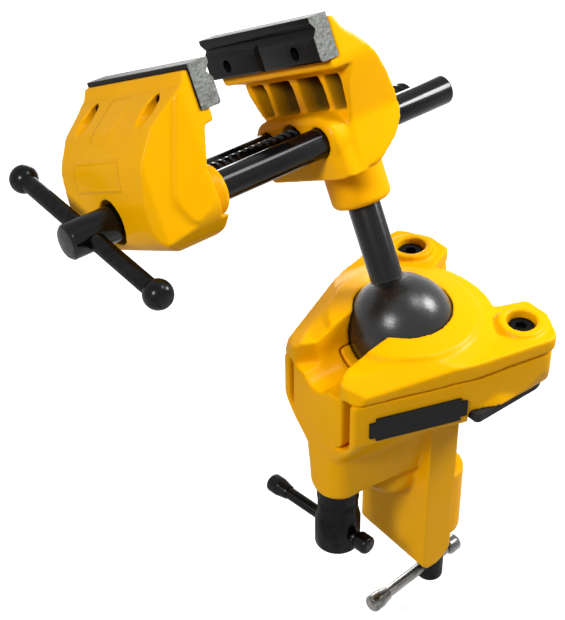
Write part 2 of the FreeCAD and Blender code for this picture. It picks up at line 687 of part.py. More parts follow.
def lock_collar():
    bottom = lock_hub_top() + AXIAL_GAP
    ring = upright(LOCK_COLLAR_R, 0, LOCK_Y, bottom, bottom + LOCK_COLLAR_H)
    return ring.cut(upright(LOCK_STUD_R + RUNNING_GAP, 0, LOCK_Y, ARM_BOTTOM, LOCK_BOSS_BOTTOM))


def lock_screw():
    """Hub with the bar's hole, and the stud that draws the cap's lip down."""
    top = lock_hub_top()
    bottom = top - LOCK_HUB_H
    flare_top = top - LOCK_HUB_NECK_H
    hub = turned([
        (0, bottom), (LOCK_HUB_R - LOCK_HUB_EDGE, bottom), (LOCK_HUB_R, bottom + LOCK_HUB_EDGE),
        (LOCK_HUB_R, flare_top - LOCK_HUB_FLARE_H), (LOCK_HUB_NECK_R, flare_top),
        (LOCK_HUB_NECK_R, top), (0, top),
    ])
    stud = upright(LOCK_STUD_R, 0, 0, top - OVERLAP, LIP_BOTTOM + LOCK_STUD_IN_CAP)
    screw = fuse(hub, stud)
    screw.translate(Vector(0, LOCK_Y, 0))
    hole = placed(Part.makeCylinder(SMALL_BAR_R + BAR_HOLE_GAP, FAR, Vector(0, 0, -FAR / 2)),
                  *lock_bar_place())
    return screw.cut(hole)


# ---- stem, drawn about the ball's centre along Z --------------------------
def stem_pin_z():
    return SPINDLE_HEIGHT - NECK_END + STEM_IN_HEAD / 2


def ball_stud():
    """Ball and stem in one piece, grooved for the pin that keeps the head on."""
    top = SPINDLE_HEIGHT - NECK_END + STEM_IN_HEAD
    stud = fuse(Part.makeSphere(BALL_R), upright(STEM_R, 0, 0, 0, top))
    reach = STEM_PIN_R + STEM_PIN_GAP
    low = stem_pin_z() - reach
    high = stem_pin_z() + reach
    ring = upright(STEM_R + OVERLAP, 0, 0, low, high).cut(upright(STEM_R - reach, 0, 0, low, high))
    return stud.cut(ring)


# ---- head castings --------------------------------------------------------
FRONT_FACE_Y = REAR_FACE_Y - JAW_OPENING
FRONT_BACK_Y = FRONT_FACE_Y - PLATE_T
REAR_BACK_Y = REAR_FACE_Y + PLATE_T
COLLAR_FRONT = SPINDLE_WALL_Y + SPINDLE_WALL_T + AXIAL_GAP
COLLAR_PIN_Y = COLLAR_FRONT + COLLAR_T / 2
HUB_BACK = SPINDLE_WALL_Y - THRUST_WASHER_T - 2 * AXIAL_GAP
BAR_Y = HUB_FRONT + BAR_FROM_FRONT


def jaw_side_view(outer, inner, back_y, outward):
    points = [(0.0, outer[0][1], 0.0)] + list(outer) + list(inner)
    return [(back_y + outward * run, z, radius) for run, z, radius in points]


def jaw_sides(sides, back_y, outward, grow):
    """Plan of a jaw's side walls, open towards the other jaw."""
    top_half, start, _ = sides[0]
    half = [(top_half + grow, back_y - outward * FAR / 4, 0)]
    half += [(x + grow, back_y + outward * run, radius) for x, run, radius in sides]
    return both_sides(half)


def jaw_front_view(lower_sides, top):
    return both_sides([(JAW_HALF, top, 0.0)] + list(lower_sides))


def jaw_blank(outer, inner, sides, lower_sides, back_y, outward, grow):
    """Casting as the overlap of its side view, its plan and its front view."""
    blank = side_prism(jaw_side_view(outer, inner, back_y, outward), JAW_HALF + OVERLAP)
    blank = blank.common(plan_prism(jaw_sides(sides, back_y, outward, grow), -FAR, FAR))
    view = jaw_front_view(lower_sides, outer[0][1] + OVERLAP)
    return blank.common(front_prism(view, -FAR, FAR))


def rod_block(back_y, outward, proud):
    """Casting round the two rods and the spindle, rounded at its free end."""
    free_end = back_y - outward * proud
    low, high = sorted((free_end, back_y + outward * BLOCK_ROOT))
    middle = box(-ROD_X, ROD_X, low, high, -BLOCK_R, BLOCK_R)
    solid = fuse(middle, *[lengthwise(BLOCK_R, x, 0, low, high) for x in (-ROD_X, ROD_X)])
    rim = [edge for edge in solid.Edges if abs(edge.CenterOfMass.y - free_end) < SAME]
    return solid.makeFillet(BLOCK_EDGE, rim)


def plate_screw_holes(back_y, outward):
    """Clearance and access holes of the screws that hold a plate, in its casting."""
    z = PLATE_FOOT + PLATE_SCREW_UP
    wall = sorted((back_y - outward * OVERLAP, back_y + outward * PLATE_WALL))
    access = sorted((back_y + outward * PLATE_WALL, back_y + outward * FAR / 4))
    cutters = []
    for x in (-PLATE_SCREW_X, PLATE_SCREW_X):
        cutters.append(lengthwise(PLATE_SCREW_R + HOLE_GAP, x, z, *wall))
        cutters.append(lengthwise(ACCESS_HOLE_R, x, z, *access))
    return cutters


def front_jaw():
    shape = (FRONT_OUTER, FRONT_INNER, FRONT_SIDES, FRONT_LOWER_SIDES, FRONT_BACK_Y, -1)
    jaw = jaw_blank(*shape, 0)
    panel_view = [(FRONT_BACK_Y + FAR / 4, PLATE_FOOT + PLATE_H, 0.0)]
    panel_view.append((FRONT_BACK_Y - SIDE_PANEL[0][0], PLATE_FOOT + PLATE_H, 0.0))
    panel_view += [(FRONT_BACK_Y - run, z, radius) for run, z, radius in SIDE_PANEL]
    panel_view.append((FRONT_BACK_Y + FAR / 4, SIDE_PANEL[-1][1], 0.0))
    panel = jaw_blank(*shape, SIDE_PANEL_STEP).common(side_prism(panel_view, JAW_HALF + OVERLAP))
    jaw = jaw.fuse([panel, rod_block(FRONT_BACK_Y, -1, FRONT_BLOCK_PROUD)])
    rear = FRONT_BACK_Y + FRONT_BLOCK_PROUD + OVERLAP
    cutters = plate_screw_holes(FRONT_BACK_Y, -1)
    for x in (-ROD_X, ROD_X):
        cutters.append(lengthwise(ROD_R + THREAD_GAP, x, 0, ROD_FRONT - AXIAL_GAP, rear))
        cutters.append(upright(ROD_PIN_R + THREAD_GAP, x, ROD_PIN_Y, -FAR / 4, ROD_R / 2))
    cutters.append(lengthwise(SPINDLE_HOLE_R, 0, 0, HUB_FRONT, SPINDLE_WALL_Y))
    cutters.append(lengthwise(SPINDLE_R + RUNNING_GAP, 0, 0, HUB_FRONT, rear))
    cutters.append(lengthwise(COLLAR_POCKET_R, 0, 0, SPINDLE_WALL_Y + SPINDLE_WALL_T, rear))
    cutters.append(upright(COLLAR_PIN_R + HOLE_GAP, 0, COLLAR_PIN_Y, -FAR / 4, 0))
    return jaw.cut(cutters).removeSplitter()


def cheek_cutter(side):
    """Rounds the upright edge between the rear jaw's inner face and its side."""
    middle_x = side * (JAW_HALF - CHEEK_R)
    middle_y = REAR_BACK_Y + CHEEK_RUN + CHEEK_R
    left, right = sorted((middle_x, side * (JAW_HALF + OVERLAP)))
    corner = box(left, right, REAR_FACE_Y, middle_y, -FAR, CHEEK_TOP)
    return corner.cut(upright(CHEEK_R, middle_x, middle_y, -FAR, CHEEK_TOP))


def rear_pockets():
    """Four openings in the rear jaw's inner face, between three ribs."""
    edges = [-POCKET_TOP_HALF, -RIB_X, 0, RIB_X, POCKET_TOP_HALF]
    slant = POCKET_TOP_HALF - POCKET_BOTTOM_HALF
    cutters = []
    for index in range(4):
        left = edges[index] + (0, RIB_T / 2, MIDDLE_RIB_T / 2, RIB_T / 2)[index]
        right = edges[index + 1] - (RIB_T / 2, MIDDLE_RIB_T / 2, RIB_T / 2, 0)[index]
        low_left = left + (slant if index == 0 else 0)
        low_right = right - (slant if index == 3 else 0)
        cutters.append(front_prism([
            (left, POCKET_TOP, 0), (right, POCKET_TOP, 0), (low_right, POCKET_BOTTOM, 0),
            (low_left, POCKET_BOTTOM, 0),
        ], REAR_FACE_Y, REAR_BACK_Y + POCKET_BACK))
    return cutters


def rear_jaw():
    jaw = jaw_blank(REAR_OUTER, REAR_INNER, REAR_SIDES, REAR_LOWER_SIDES, REAR_BACK_Y, 1, 0)
    jaw = jaw.cut(rear_pockets() + [cheek_cutter(side) for side in (-1, 1)])
    front = REAR_BACK_Y - REAR_BLOCK_PROUD
    root = REAR_BACK_Y + BLOCK_ROOT
    chin = plan_prism([
        (CHIN_HALF, front, CHIN_CORNER_R), (CHIN_HALF, root, 0), (-CHIN_HALF, root, 0),
        (-CHIN_HALF, front, CHIN_CORNER_R),
    ], CHIN_BOTTOM, 0)
    neck = rounded_cylinder(NECK_R, NECK_END, NECK_EDGE)
    neck.translate(Vector(0, 0, -NECK_END))
    jaw = jaw.fuse([rod_block(REAR_BACK_Y, 1, REAR_BLOCK_PROUD), chin, neck])
    cutters = plate_screw_holes(REAR_BACK_Y, 1)
    cutters += [lengthwise(ROD_R + RUNNING_GAP, x, 0, -FAR / 2, FAR / 2) for x in (-ROD_X, ROD_X)]
    cutters.append(lengthwise(SPINDLE_BORE_R, 0, 0, -FAR / 2, NUT_SEAT_Y))
    nut_front = NUT_SEAT_Y - NUT_LENGTH + NUT_FLANGE_T
    cutters.append(lengthwise(NUT_R + THREAD_GAP, 0, 0, nut_front - AXIAL_GAP, NUT_SEAT_Y))
    cutters.append(lengthwise(NUT_FLANGE_R + HOLE_GAP, 0, 0, NUT_SEAT_Y, FAR / 2))
    stem_top = STEM_IN_HEAD - NECK_END
    cutters.append(upright(STEM_R + STEM_GAP, 0, 0, -NECK_END - OVERLAP, stem_top + AXIAL_GAP))
    pin_z = stem_pin_z() - SPINDLE_HEIGHT
    cutters.append(lengthwise(STEM_PIN_R + THREAD_GAP, -STEM_R, pin_z, -STEM_R, FAR / 2))
    return jaw.cut(cutters).removeSplitter()


def stem_pin():
    """Pin in the neck that runs in the stem's groove."""
    pin_z = stem_pin_z() - SPINDLE_HEIGHT
    end = math.sqrt(NECK_R ** 2 - STEM_R ** 2) - AXIAL_GAP
    return lengthwise(STEM_PIN_R, -STEM_R, pin_z, -STEM_R + AXIAL_GAP, end)


# ---- head hardware --------------------------------------------------------
def jaw_plate(face_y, outward):
    """Grooved steel plate; outward points from its gripping face to its back."""
    groove_z = PLATE_FOOT + GROOVE_UP
    top = PLATE_FOOT + PLATE_H
    view = [
        (PLATE_T, PLATE_FOOT), (PLATE_CHAMFER, PLATE_FOOT), (0, PLATE_FOOT + PLATE_CHAMFER),
        (0, groove_z - GROOVE_HALF), (GROOVE_DEPTH, groove_z), (0, groove_z + GROOVE_HALF),
        (0, top), (PLATE_T, top),
    ]
    plate = side_prism([(face_y + outward * run, z, 0) for run, z in view], PLATE_HALF)
    vee = plan_prism([
        (-UPRIGHT_GROOVE_HALF, face_y, 0), (UPRIGHT_GROOVE_HALF, face_y, 0),
        (0, face_y + outward * UPRIGHT_GROOVE_DEPTH, 0),
    ], PLATE_FOOT - OVERLAP, groove_z)
    z = PLATE_FOOT + PLATE_SCREW_UP
    ends = sorted((face_y - outward * OVERLAP, face_y + outward * (PLATE_T + OVERLAP)))
    holes = [lengthwise(PLATE_SCREW_R + THREAD_GAP, x, z, *ends)
             for x in (-PLATE_SCREW_X, PLATE_SCREW_X)]
    return plate.cut([vee] + holes)


def plate_screws(face_y, outward):
    reach = PLATE_WALL + PLATE_T - PLATE_SCREW_SHORT
    screw = socket_head_screw(PLATE_SCREW_R, reach, PLATE_SCREW_HEAD_R, PLATE_SCREW_HEAD_H)
    seat_y = face_y + outward * (PLATE_T + PLATE_WALL)
    z = PLATE_FOOT + PLATE_SCREW_UP
    return group([placed(screw, Vector(x, seat_y, z), Vector(0, outward, 0))
                  for x in (-PLATE_SCREW_X, PLATE_SCREW_X)])


def guide_rod(side):
    rod = placed(rounded_cylinder(ROD_R, ROD_REAR - ROD_FRONT, ROD_EDGE),
                 Vector(side * ROD_X, ROD_FRONT, 0), Vector(0, 1, 0))
    pin_top = ROD_R / 2 + THREAD_GAP
    return rod.cut(upright(ROD_PIN_R + THREAD_GAP, side * ROD_X, ROD_PIN_Y, -FAR / 4, pin_top))


def rod_pins():
    bottom = FRONT_OUTER[-1][1] + ROD_PIN_RECESS
    return group([upright(ROD_PIN_R, x, ROD_PIN_Y, bottom, ROD_R / 2 - AXIAL_GAP)
                  for x in (-ROD_X, ROD_X)])


def spindle():
    """Screw with its hub; the collar's pin and the cross bar pass through it."""
    hub = turned([
        (0, HUB_FRONT), (HUB_R - HUB_EDGE, HUB_FRONT), (HUB_R, HUB_FRONT + HUB_EDGE),
        (HUB_R, HUB_FLARE_FROM), (HUB_FLARE_R, HUB_BACK - HUB_EDGE),
        (HUB_FLARE_R - HUB_EDGE / 2, HUB_BACK), (SPINDLE_R, HUB_BACK),
        (SPINDLE_R, SPINDLE_REAR - HUB_EDGE), (SPINDLE_R - HUB_EDGE, SPINDLE_REAR),
        (0, SPINDLE_REAR),
    ])
    screw = placed(hub, Vector(0, 0, 0), Vector(0, 1, 0))
    screw = screw.cut(upright(COLLAR_PIN_R + THREAD_GAP, 0, COLLAR_PIN_Y, -FAR / 2, FAR / 2))
    hole = Part.makeCylinder(BAR_R + BAR_HOLE_GAP, FAR, Vector(0, 0, -FAR / 2))
    return screw.cut(placed(hole, *spindle_bar_place()))


def thrust_washer():
    front = HUB_BACK + AXIAL_GAP
    ring = lengthwise(THRUST_WASHER_R, 0, 0, front, front + THRUST_WASHER_T)
    return ring.cut(lengthwise(SPINDLE_R + RUNNING_GAP, 0, 0, -FAR, FAR))


def spindle_collar():
    ring = lengthwise(COLLAR_R, 0, 0, COLLAR_FRONT, COLLAR_FRONT + COLLAR_T)
    ring = ring.cut(lengthwise(SPINDLE_R + THREAD_GAP, 0, 0, -FAR, FAR))
    return ring.cut(upright(COLLAR_PIN_R + THREAD_GAP, 0, COLLAR_PIN_Y, -FAR / 2, FAR / 2))


def collar_pin():
    half = math.sqrt(COLLAR_R ** 2 - COLLAR_PIN_R ** 2) - AXIAL_GAP
    return upright(COLLAR_PIN_R, 0, COLLAR_PIN_Y, -half, half)


def spindle_nut():
    front = NUT_SEAT_Y - NUT_LENGTH + NUT_FLANGE_T
    barrel = lengthwise(NUT_R, 0, 0, front, NUT_SEAT_Y + NUT_FLANGE_T)
    flange = lengthwise(NUT_FLANGE_R, 0, 0, NUT_SEAT_Y, NUT_SEAT_Y + NUT_FLANGE_T)
    bore = lengthwise(SPINDLE_R + RUNNING_GAP, 0, 0, -FAR, FAR)
    return fuse(barrel, flange).cut(bore)


def spindle_bar_place():
    angle = math.radians(BAR_ANGLE)
    return Vector(0, BAR_Y, 0), Vector(math.cos(angle), 0, math.sin(angle))


def bar_ball():
    """Ball with a flat on its outer end, centred on the zero point, facing +Z."""
    return Part.makeSphere(BAR_BALL_R).common(
        box(-BAR_BALL_R, BAR_BALL_R, -BAR_BALL_R, BAR_BALL_R, -BAR_BALL_R, BAR_BALL_FLAT))


def spindle_bar():
    """Cross bar and its loose ball."""
    shoulder = math.sqrt(BAR_BALL_R ** 2 - BAR_R ** 2)
    spigot_r = BAR_R * SPIGOT_R / SMALL_BAR_R
    bar = cross_bar(BAR_R, -BAR_HALF, BAR_HALF, bar_ball(), spigot_r, shoulder)
    ball = bar_ball().cut(upright(BAR_R + THREAD_GAP, 0, 0, -BAR_BALL_R, -shoulder + AXIAL_GAP))
    ball = loose_end(ball, spigot_r, AXIAL_GAP)
    ball.translate(Vector(0, 0, BAR_HALF))
    place = spindle_bar_place()
    return placed(bar, *place), placed(ball, *place)


# ---- placing and writing --------------------------------------------------
def base_place(shape):
    moved = shape.copy()
    moved.translate(Vector(0, -CLAMP_Y, -SEAT_Z))
    return moved


def tilted_place(shape, lift):
    """Placing of a piece drawn along the stem, a given height above the ball's centre."""
    moved = shape.copy()
    moved.translate(Vector(0, 0, lift))
    moved.rotate(Vector(0, 0, 0), Vector(0, 1, 0), -HEAD_TILT)
    return base_place(moved)


def write(node, shape):
    if not shape.isValid():
        raise ValueError(node + " is not a valid shape")
    print(node, len(shape.Solids), "solids", round(shape.Volume), "mm3")
    shape.exportStep("parts/" + node + ".step")


def main():
    os.makedirs("parts", exist_ok=True)
    clamp_bar, clamp_bar_knob = small_bar(CLAMP_BAR_FRONT, CLAMP_BAR_REAR, *clamp_bar_place())
    lock_bar, lock_bar_knob = small_bar(LOCK_BAR_LEFT, LOCK_BAR_RIGHT, *lock_bar_place())
    spindle_cross_bar, spindle_bar_ball = spindle_bar()
    base_pieces = {
        "base_body": base_body(),
        "socket_cap": socket_cap(),
        "cap_bolts": cap_bolts(),
        "table_pad": table_pad(),
        "badge_plate": badge_plate(),
        "ball_seat": ball_seat(),
        "clamp_screw": clamp_screw(),
        "clamp_foot": clamp_foot(),
        "clamp_bar": clamp_bar,
        "clamp_bar_knob": clamp_bar_knob,
        "lock_screw": lock_screw(),
        "lock_collar": lock_collar(),
        "lock_bar": lock_bar,
        "lock_bar_knob": lock_bar_knob,
    }
    head_pieces = {
        "rear_jaw": rear_jaw(),
        "rear_jaw_plate": jaw_plate(REAR_FACE_Y, 1),
        "rear_plate_screws": plate_screws(REAR_FACE_Y, 1),
        "spindle_nut": spindle_nut(),
        "stem_pin": stem_pin(),
        "front_jaw": front_jaw(),
        "front_jaw_plate": jaw_plate(FRONT_FACE_Y, -1),
        "front_plate_screws": plate_screws(FRONT_FACE_Y, -1),
        "guide_rod_left": guide_rod(-1),
        "guide_rod_right": guide_rod(1),
        "rod_pins": rod_pins(),
        "spindle": spindle(),
        "thrust_washer": thrust_washer(),
        "spindle_collar": spindle_collar(),
        "collar_pin": collar_pin(),
        "spindle_bar": spindle_cross_bar,
        "spindle_bar_ball": spindle_bar_ball,
    }
    for node, shape in base_pieces.items():
        write(node, base_place(shape))
    write("ball_stud", tilted_place(ball_stud(), 0))
    for node, shape in head_pieces.items():
        write(node, tilted_place(shape, SPINDLE_HEIGHT))


main()
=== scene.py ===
import json
import math

import bpy
from mathutils import Matrix, Vector

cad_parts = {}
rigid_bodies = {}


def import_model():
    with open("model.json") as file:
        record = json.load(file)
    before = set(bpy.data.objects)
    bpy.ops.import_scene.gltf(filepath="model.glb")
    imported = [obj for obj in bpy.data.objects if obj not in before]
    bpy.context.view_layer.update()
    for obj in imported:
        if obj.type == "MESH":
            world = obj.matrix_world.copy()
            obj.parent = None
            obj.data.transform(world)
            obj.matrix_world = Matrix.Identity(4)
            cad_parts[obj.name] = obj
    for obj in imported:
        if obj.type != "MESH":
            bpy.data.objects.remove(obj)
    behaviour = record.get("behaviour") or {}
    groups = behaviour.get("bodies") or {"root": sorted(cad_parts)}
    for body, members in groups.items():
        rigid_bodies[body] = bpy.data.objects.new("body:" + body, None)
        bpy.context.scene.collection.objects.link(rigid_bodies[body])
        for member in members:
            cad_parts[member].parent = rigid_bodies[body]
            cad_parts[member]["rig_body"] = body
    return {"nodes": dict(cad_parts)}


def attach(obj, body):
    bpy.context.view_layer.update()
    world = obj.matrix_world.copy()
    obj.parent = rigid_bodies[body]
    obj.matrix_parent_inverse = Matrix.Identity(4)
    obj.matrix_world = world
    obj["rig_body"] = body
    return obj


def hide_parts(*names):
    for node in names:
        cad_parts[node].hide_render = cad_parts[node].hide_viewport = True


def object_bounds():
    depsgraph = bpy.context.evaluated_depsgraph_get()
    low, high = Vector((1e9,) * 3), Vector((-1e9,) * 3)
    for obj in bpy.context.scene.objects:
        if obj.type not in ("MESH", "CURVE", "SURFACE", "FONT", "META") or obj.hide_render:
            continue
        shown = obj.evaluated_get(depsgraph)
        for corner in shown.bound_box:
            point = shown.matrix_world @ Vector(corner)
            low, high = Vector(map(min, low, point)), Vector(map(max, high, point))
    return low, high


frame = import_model()
CAD_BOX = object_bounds()

# ---- camera, in metres, radians and image pixels ---------------------------
CAMERA_AT = Vector((0.3329, -0.3389, 0.3904))
CAMERA_AZIMUTH = math.radians(52.24)
CAMERA_ELEVATION = math.radians(38.1)
CAMERA_ROLL = math.radians(-0.82)
IMAGE_LONG_SIDE = 620
FOCAL_PIXELS = 1498.2
SENSOR = 36.0
SHIFT_PIXELS = (-4.54, -0.73)
FAR_CLIP = 20.0

# ---- room ------------------------------------------------------------------
# lamps: name, direction along the camera's right, up and back, distance from the
# ball, width and height, power in watts
LAMPS = (
    ("key", (0.74, 0.62, 0.26), 0.48, (0.14, 0.14), 2.3),
    ("front", (-0.48, 0.16, 0.86), 1.0, (0.18, 0.22), 6.0),
    ("top", (0.40, 0.76, 0.50), 0.9, (0.26, 0.22), 2.2),
    ("rim", (-0.15, 0.67, -0.72), 0.8, (0.30, 0.30), 3.2),
)
SKY_LIGHT = 0.16                        # strength that falls on the vise
SKY_SEEN = 1.0                          # strength that the lens and the gloss see
FLOOR_SIZE = 6.0
FLOOR_BELOW = 0.02
FLOOR_COLOUR = (0.4, 0.4, 0.4)
FLOOR_ROUGHNESS = 0.9
FLOOR_FADE = (0.25, 0.9)                # distances from the floor's middle
FLOOR_GLOW = (0.78, 1.0)                # glow at those distances
WHITE = (1.0, 1.0, 1.0, 1.0)

# ---- places on the vise, in metres -----------------------------------------
HEAD_TILT = math.radians(28.6)
BALL_AT = Vector((0.0, -0.0245, 0.024))
JAW_ACROSS = Vector((math.cos(HEAD_TILT), 0.0, math.sin(HEAD_TILT)))
JAW_UP = Vector((-math.sin(HEAD_TILT), 0.0, math.cos(HEAD_TILT)))
ALONG_SPINDLE = Vector((0.0, 1.0, 0.0))
SPINDLE_HEIGHT = 0.0822
STEM_FROM = 0.0200                      # where the stem leaves the ball, along JAW_UP
PLATE_HALF = 0.0381
PLATE_TOP = SPINDLE_HEIGHT + 0.045      # along JAW_UP, from the ball's centre
EDGE_WEAR = 0.0003                      # depth of the bright ground ends and tops
STRAIGHT_UP = Vector((0.0, 0.0, 1.0))

# threads: radius, pitch, depth, where they start and their number of turns
SPINDLE_R = 0.0060
SPINDLE_PITCH = 0.0030
SPINDLE_THREAD_DEPTH = 0.0008
SPINDLE_THREAD_FROM = -0.0755           # from the stem's axis, along the spindle
SPINDLE_THREAD_TURNS = 36
CLAMP_R = 0.0060
CLAMP_PITCH = 0.00175
CLAMP_THREAD_DEPTH = 0.0007
CLAMP_HEAD_TOP = -0.1180                # end of the plain head, above it the thread
CLAMP_THREAD_TURNS = 46
THREAD_STEPS = 36                       # sides of one turn

# distances below which points are merged, on threads and on the nodes
THREAD_MERGE = 1e-7
NODE_MERGE = 1e-6

# openings in the fixed jaw, where shade is painted: half width at the top and its
# slant, height above the spindle, distance back from the jaw plate
REAR_PLATE_BACK = -0.0413
POCKET_HALF = 0.0304
POCKET_SLANT = 0.19
POCKET_HEIGHT = (0.0092, 0.0227)
POCKET_DEPTH = (0.0034, 0.0170)

# relief on the front of the sliding jaw, across and up from the spindle
PANEL_X = (-0.0200, 0.0150)
PANEL_Z = (0.0110, 0.0215)
PANEL_RIM = 0.0009
STEP_X = (-0.0105, 0.0040)
STEP_Z = (0.0265, 0.0380)
RELIEF = 0.00035
SOFT_EDGE = 0.0004

# castings: voxel size, rounds of smoothing that round their edges, strength of a round
CASTINGS = {
    "base_body": (0.00085, 7),
    "socket_cap": (0.0007, 7),
    "rear_jaw": (0.0007, 8),
    "front_jaw": (0.0006, 4),
}
SMOOTHING = 0.5

# machined pieces: widths of their broken edges, angles that count as smooth and sharp
PIN_EDGE = 0.0001
SCREW_EDGE = 0.0002
STEEL_EDGE = 0.0003
PLATE_EDGE = 0.00035
PAD_EDGE = 0.0004
SMOOTH_BELOW = math.radians(32)
BREAK_ABOVE = math.radians(40)

# ---- colours ---------------------------------------------------------------
YELLOW_DEEP = (0.93, 0.425, 0.0)
YELLOW_LIGHT = (0.98, 0.475, 0.0)
YELLOW_SPECK = (0.62, 0.25, 0.002)
# painted shade inside the fixed jaw's openings
POCKET_SHADE_DARK = (0.030, 0.022, 0.005)
POCKET_SHADE_LIGHT = (0.075, 0.055, 0.016)
OXIDE_DARK = (0.0010, 0.0010, 0.0011)
OXIDE_LIGHT = (0.004, 0.004, 0.0042)
OXIDE_SCUFF = (0.03, 0.03, 0.03)
BALL_DARK = (0.002, 0.002, 0.002)
BALL_LIGHT = (0.011, 0.011, 0.011)
PLATE_DARK = (0.003, 0.003, 0.0033)
PLATE_LIGHT = (0.008, 0.008, 0.0083)
PLATE_SPECK = (0.12, 0.12, 0.11)
GROUND_DARK = (0.12, 0.125, 0.115)
GROUND_LIGHT = (0.33, 0.34, 0.32)
WORN_DARK = (0.035, 0.034, 0.032)
WORN_LIGHT = (0.30, 0.295, 0.28)
BRASS = ((0.30, 0.19, 0.06), (0.45, 0.31, 0.11))
RUBBER = ((0.010, 0.010, 0.011), (0.022, 0.022, 0.024))
BADGE_BLACK = ((0.006, 0.006, 0.006), (0.010, 0.010, 0.010))

# weights of the thin coat that makes the gloss, and how far a noise varies them
PAINT_GLOSS = 0.16
STEEL_GLOSS = 0.20
BAR_GLOSS = 0.34
ROD_GLOSS = 0.46
BALL_GLOSS = 0.70
GLOSS_VARIES = (0.7, 1.3)

# noises: limits between which they are read, scales that draw them out in x, y and z
NOISE_WIDE = (0.3, 0.7)
NOISE_CLOSE = (0.35, 0.65)
NOISE_CROSSED = (0.15, 0.36)            # for two noises multiplied
ALONG_ROD = (1.0, 0.1, 1.0)
ALONG_BAR = (1.0, 0.2, 1.0)
SCRATCHES = (1.0, 0.25, 0.7)
CROSS_SCRATCHES = (0.3, 1.0, 0.5)

# bumps: their height
PEEL_HEIGHT = 0.00005
GRAIN_HEIGHT = 0.000008
MOTTLE_HEIGHT = 0.00007
SCRATCH_HEIGHT = 0.00003
RUB_HEIGHT = 0.000012


# ---- camera and room -------------------------------------------------------
def camera_axes():
    """Right, up and backward directions of the camera."""
    azimuth, elevation = CAMERA_AZIMUTH, CAMERA_ELEVATION
    right = Vector((math.cos(azimuth), math.sin(azimuth), 0.0))
    back = Vector((math.cos(elevation) * math.sin(azimuth),
                   -math.cos(elevation) * math.cos(azimuth), math.sin(elevation)))
    up = back.cross(right)
    turn = Matrix.Rotation(CAMERA_ROLL, 3, back)
    return turn @ right, turn @ up, back


def add_camera():
    """Camera at its place, with its lens, shift and roll."""
    right, up, back = camera_axes()
    data = bpy.data.cameras.new("camera")
    data.lens = FOCAL_PIXELS / IMAGE_LONG_SIDE * SENSOR
    data.sensor_width = SENSOR
    data.shift_x = SHIFT_PIXELS[0] / IMAGE_LONG_SIDE
    data.shift_y = SHIFT_PIXELS[1] / IMAGE_LONG_SIDE
    data.clip_end = FAR_CLIP
    camera = bpy.data.objects.new("camera", data)
    turn = Matrix((right, up, back)).transposed().to_4x4()
    camera.matrix_world = Matrix.Translation(CAMERA_AT) @ turn
    bpy.context.scene.collection.objects.link(camera)
    bpy.context.scene.camera = camera


def add_softbox(name, towards, distance, size, power):
    """Area lamp that faces the ball; the lens doesn't see it."""
    right, up, back = camera_axes()
    direction = (right * towards[0] + up * towards[1] + back * towards[2]).normalized()
    data = bpy.data.lights.new(name, "AREA")
    data.shape = "RECTANGLE"
    data.size = size[0]
    data.size_y = size[1]
    data.energy = power
    lamp = bpy.data.objects.new(name, data)
    lamp.visible_camera = False
    lamp.matrix_world = (Matrix.Translation(BALL_AT + direction * distance)
                         @ direction.to_track_quat("Z", "Y").to_matrix().to_4x4())
    bpy.context.scene.collection.objects.link(lamp)


def seen_directly(tree):
    """1 for rays of the lens, of reflections and through glass, 0 for other light."""
    path = tree.nodes.new("ShaderNodeLightPath")
    either = path.outputs["Is Camera Ray"]
    for ray in ("Is Glossy Ray", "Is Transmission Ray"):
        largest = tree.nodes.new("ShaderNodeMath")
        largest.operation = "MAXIMUM"
        tree.links.new(either, largest.inputs[0])
        tree.links.new(path.outputs[ray], largest.inputs[1])
        either = largest.outputs[0]
    return either


def light_room():
    """White surroundings that light the vise weakly, and the lamps."""
    bpy.context.scene.view_settings.view_transform = "Standard"
    world = bpy.data.worlds.new("studio")
    bpy.context.scene.world = world
    world.use_nodes = True
    tree = world.node_tree
    sky = tree.nodes["Background"]
    sky.inputs["Color"].default_value = WHITE
    tree.links.new(spread(tree, seen_directly(tree), (0.0, 1.0), (SKY_LIGHT, SKY_SEEN)),
                   sky.inputs["Strength"])
    for lamp in LAMPS:
        add_softbox(*lamp)


def add_floor():
    """Pale floor that keeps the vise's shadow near its middle and is white far away."""
    bpy.ops.mesh.primitive_plane_add(size=FLOOR_SIZE,
                                     location=(0, 0, CAD_BOX[0][2] - FLOOR_BELOW))
    floor = bpy.context.object
    floor.name = "floor"
    mat = bpy.data.materials.new("floor_white")
    mat.use_nodes = True
    tree = mat.node_tree
    shader = tree.nodes["Principled BSDF"]
    shader.inputs["Base Color"].default_value = (*FLOOR_COLOUR, 1.0)
    shader.inputs["Roughness"].default_value = FLOOR_ROUGHNESS
    shader.inputs["Emission Color"].default_value = WHITE
    away = tree.nodes.new("ShaderNodeVectorMath")
    away.operation = "LENGTH"
    tree.links.new(tree.nodes.new("ShaderNodeTexCoord").outputs["Object"], away.inputs[0])
    glow = spread(tree, away.outputs["Value"], FLOOR_FADE, FLOOR_GLOW)
    tree.links.new(calculate(tree, "MULTIPLY", seen_directly(tree), glow),
                   shader.inputs["Emission Strength"])
    floor.data.materials.append(mat)


# ---- material helpers ------------------------------------------------------
def new_finish(name, roughness, gloss, specular=0.0):
    """Material, its node tree, its shader and the object's own coordinates.

    Gloss is the weight of a thin coat, which shines without a pale rim."""
    mat = bpy.data.materials.new(name)
    mat.use_nodes = True
    tree = mat.node_tree
    shader = tree.nodes["Principled BSDF"]
    shader.inputs["Roughness"].default_value = roughness
    shader.inputs["Specular IOR Level"].default_value = specular
    shader.inputs["Coat Weight"].default_value = gloss
    shader.inputs["Coat Roughness"].default_value = roughness
    place = tree.nodes.new("ShaderNodeTexCoord").outputs["Object"]
    return mat, tree, shader, place


